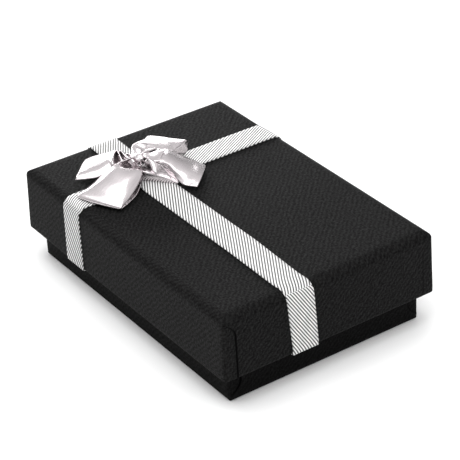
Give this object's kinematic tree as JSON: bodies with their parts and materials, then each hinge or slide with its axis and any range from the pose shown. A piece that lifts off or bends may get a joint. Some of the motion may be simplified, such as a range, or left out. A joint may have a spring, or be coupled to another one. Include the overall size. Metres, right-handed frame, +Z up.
{
  "type": "jewelry gift box",
  "caption": "Rectangular two-piece rigid paperboard box with a lift-off lid, crossed ribbons, a small foil bow and a slit velvet pad inside.",
  "frame": {"origin": "centre of the box's underside, on the surface it stands on", "axes": "+X along the box's length, towards the short end away from the bow; +Z up through the lid"},
  "size_m": [0.0804, 0.0556, 0.0281],
  "materials": {
    "greyboard": "matte",
    "stay_paper": "matte",
    "wrap_paper": "matte",
    "lining_paper": "matte",
    "card": "matte",
    "foam": "matte",
    "velvet": "matte",
    "woven_ribbon": "satin",
    "foil_ribbon": "polished",
    "tie_wire": "satin",
    "glue": "gloss"
  },
  "bodies": {
    "base": {"base_board": "greyboard", "base_corner_stays": "stay_paper", "base_wrap": "wrap_paper", "base_liner": "lining_paper"},
    "insert": {"insert_card": "card", "insert_foam": "foam", "insert_velvet": "velvet"},
    "lid": {"lid_board": "greyboard", "lid_corner_stays": "stay_paper", "lid_wrap": "wrap_paper", "lid_liner": "lining_paper", "ribbon_long": "woven_ribbon", "ribbon_cross": "woven_ribbon", "bow_loops": "foil_ribbon", "bow_tails": "foil_ribbon", "bow_tie": "tie_wire", "bow_glue": "glue"}
  },
  "joints": [
    {"name": "insert_lift", "type": "slide", "parent": "base", "child": "insert", "axis": [0, 0, 1], "range_m": [0, 0.025]},
    {"name": "lid_lift", "type": "slide", "parent": "insert", "child": "lid", "axis": [0, 0, 1], "range_m": [0, 0.045]}
  ]
}
